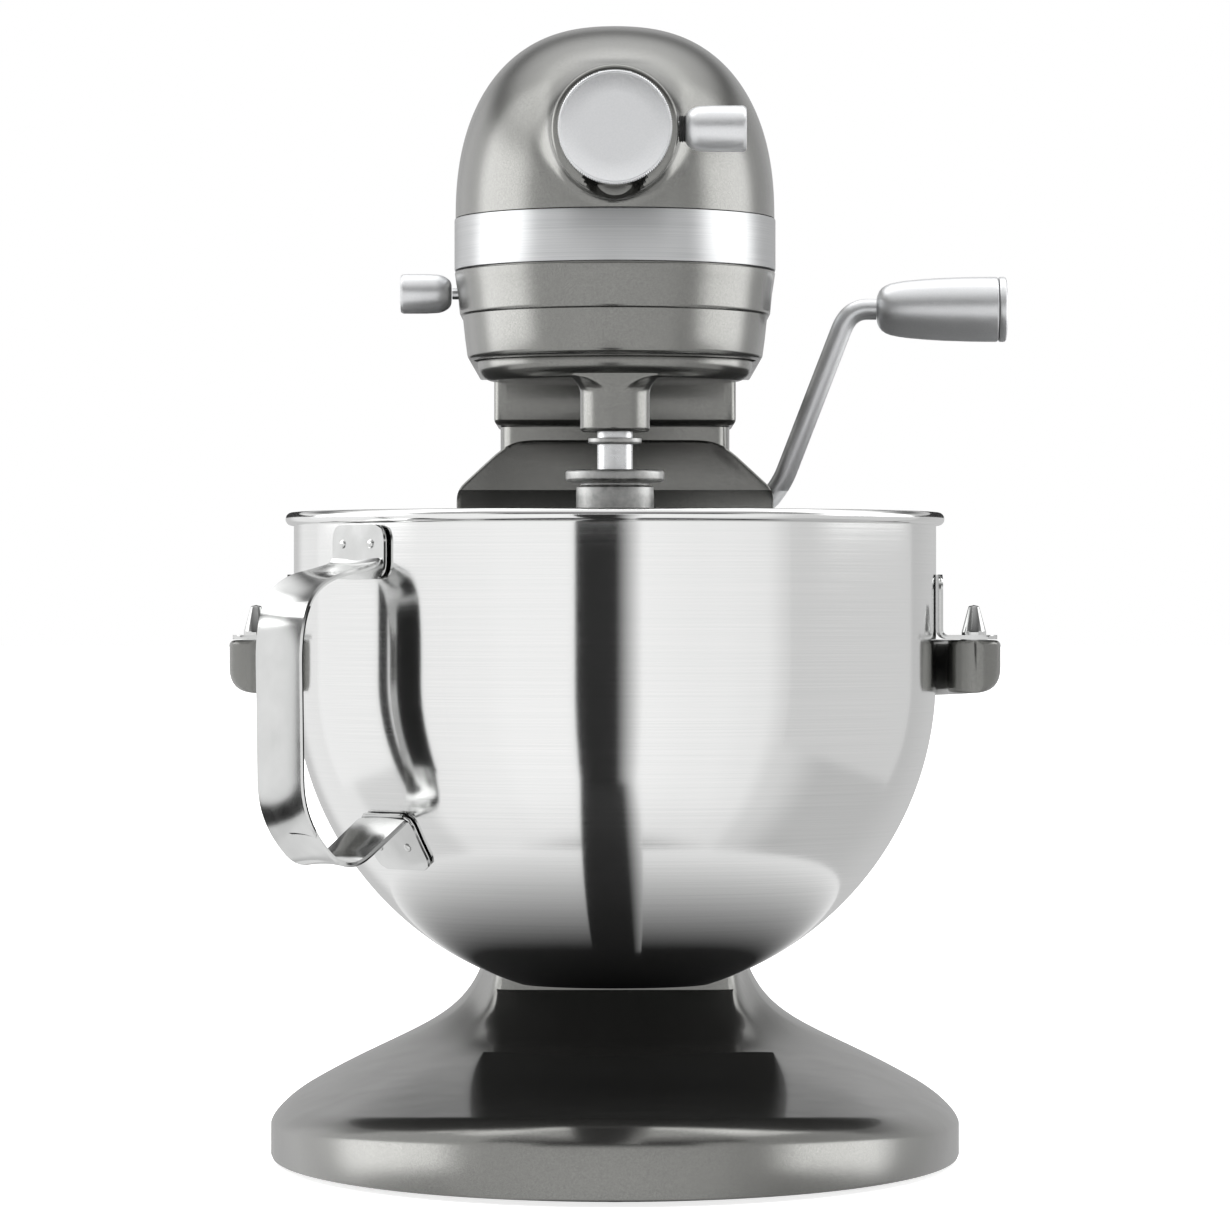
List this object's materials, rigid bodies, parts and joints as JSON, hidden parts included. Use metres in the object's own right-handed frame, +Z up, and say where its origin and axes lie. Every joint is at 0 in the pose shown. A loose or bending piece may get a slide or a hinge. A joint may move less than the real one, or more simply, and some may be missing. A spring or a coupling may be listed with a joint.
{
  "type": "bowl-lift stand mixer",
  "caption": "Stand mixer with a fixed head, planetary beater drive, front power hub, and a steel bowl that a side lever raises on a yoke.",
  "frame": {"origin": "on the table under the middle of the machine's outline", "axes": "+X to the right of a person facing the mixer, +Y to its rear, +Z up"},
  "size_m": [0.29, 0.3724, 0.4162],
  "materials": {
    "body_paint": "warm grey metallic paint under a clear gloss coat",
    "brushed_steel": "stainless sheet with fine level brushing",
    "polished_steel": "polished stainless sheet",
    "satin_aluminium": "fine satin",
    "cast_metal": "burnished casting, slightly mottled",
    "machined_steel": "turned and ground steel",
    "gear_brass": "machined",
    "copper_winding": "enamelled copper and laminations",
    "black_rubber": "matt",
    "dark_plastic": "moulded, matt"
  },
  "bodies": {
    "stand": {"pedestal": "body_paint", "column": "body_paint", "foot_front": "black_rubber", "foot_left": "black_rubber", "foot_right": "black_rubber", "foot_rear_left": "black_rubber", "foot_rear_right": "black_rubber", "gearcase": "body_paint", "upper_housing": "body_paint", "hub_collar": "body_paint", "end_cover": "body_paint", "trim_band": "brushed_steel", "end_cover_screw": "machined_steel", "cord_gland": "black_rubber", "head_bolt_left": "machined_steel", "head_bolt_right": "machined_steel", "ring_gear": "machined_steel", "motor_stator": "copper_winding", "front_bearing_plate": "cast_metal", "rear_bearing_plate": "cast_metal", "brush_holder_left": "gear_brass", "brush_holder_right": "gear_brass", "hub_cover_pin": "machined_steel"},
    "lift_lever": {"lift_lever_rod": "satin_aluminium", "lift_lever_grip": "satin_aluminium", "lift_lever_cap": "satin_aluminium", "lift_crank": "machined_steel"},
    "lift_yoke": {"bowl_yoke": "body_paint", "lift_carriage": "cast_metal", "yoke_bolt_1": "machined_steel", "yoke_bolt_2": "machined_steel", "locating_pin_left": "polished_steel", "locating_pin_right": "polished_steel", "bowl_latch_clip": "machined_steel"},
    "bowl_body": {"bowl": "brushed_steel", "bowl_handle": "polished_steel", "bowl_bracket_left": "polished_steel", "bowl_bracket_right": "polished_steel", "bowl_rear_stud": "polished_steel"},
    "planetary": {"planetary_dish": "body_paint", "centre_shaft": "machined_steel", "centre_gear": "machined_steel", "centre_bevel_gear": "machined_steel"},
    "agitator": {"agitator_shaft": "machined_steel", "planet_pinion": "machined_steel", "retaining_ring": "machined_steel", "beater_pin": "machined_steel"},
    "hook": {"dough_hook": "cast_metal"},
    "jack": {"jack_shaft": "machined_steel", "worm_wheel": "gear_brass"},
    "motor": {"motor_shaft": "machined_steel", "armature": "copper_winding", "cooling_fan": "dark_plastic"},
    "hub_drive": {"hub_drive_shaft": "machined_steel", "hub_bevel_gear": "machined_steel"},
    "cover": {"hub_cover": "satin_aluminium"},
    "knob_screw": {"attachment_screw": "machined_steel"},
    "knob": {"attachment_knob": "satin_aluminium"},
    "speed_control": {"speed_link": "machined_steel", "speed_knob": "satin_aluminium"}
  },
  "joints": [
    {"name": "planetary_turn", "type": "hinge", "parent": "stand", "child": "planetary", "pos_m": [-0.005, -0.045, 0.3], "axis": [0, 0, 1], "continuous": true},
    {"name": "agitator_spin", "type": "hinge", "parent": "planetary", "child": "agitator", "pos_m": [-0.005, -0.08, 0.28], "axis": [0, 0, 1], "continuous": true},
    {"name": "hook_bayonet", "type": "hinge", "parent": "agitator", "child": "hook", "pos_m": [-0.005, -0.08, 0.24], "axis": [0, 0, 1], "range_deg": [0, 60]},
    {"name": "jack_spin", "type": "hinge", "parent": "stand", "child": "jack", "pos_m": [-0.029, -0.01817, 0.33], "axis": [0, 0, 1], "continuous": true},
    {"name": "motor_spin", "type": "hinge", "parent": "stand", "child": "motor", "pos_m": [-0.005, 0.055, 0.3395], "axis": [0, 1, 0], "continuous": true},
    {"name": "hub_spin", "type": "hinge", "parent": "stand", "child": "hub_drive", "pos_m": [-0.005, -0.105, 0.3717], "axis": [0, 1, 0], "continuous": true},
    {"name": "lift_lever_turn", "type": "hinge", "parent": "stand", "child": "lift_lever", "pos_m": [0.035, 0.1, 0.245], "axis": [-1, 0, 0], "range_deg": [0, 95]},
    {"name": "yoke_slide", "type": "slide", "parent": "stand", "child": "lift_yoke", "axis": [0, 0, 1], "range_m": [-0.032, 0]},
    {"name": "bowl_lift_off", "type": "slide", "parent": "lift_yoke", "child": "bowl_body", "axis": [0, 0, 1], "range_m": [0, 0.012]},
    {"name": "hub_cover_flip", "type": "hinge", "parent": "stand", "child": "cover", "pos_m": [-0.005, -0.1415, 0.3905], "axis": [-1, 0, 0], "range_deg": [0, 100]},
    {"name": "knob_feed", "type": "slide", "parent": "stand", "child": "knob_screw", "axis": [1, 0, 0], "range_m": [0, 0.00252]},
    {"name": "knob_turn", "type": "hinge", "parent": "knob_screw", "child": "knob", "pos_m": [0.025, -0.138, 0.3717], "axis": [1, 0, 0], "range_deg": [0, 720]},
    {"name": "speed_slide", "type": "slide", "parent": "stand", "child": "speed_control", "axis": [0, 1, 0], "range_m": [0, 0.024]}
  ],
  "couplings": [
    {"joint": "agitator_spin", "follows": "planetary_turn", "ratio": -4.3333},
    {"joint": "jack_spin", "follows": "planetary_turn", "ratio": -3},
    {"joint": "motor_spin", "follows": "planetary_turn", "ratio": -24},
    {"joint": "hub_spin", "follows": "planetary_turn", "ratio": -1},
    {"joint": "yoke_slide", "follows": "lift_lever_turn", "m_per_rad": -0.01929},
    {"joint": "knob_feed", "follows": "knob_turn", "m_per_rad": 0.0001989}
  ]
}
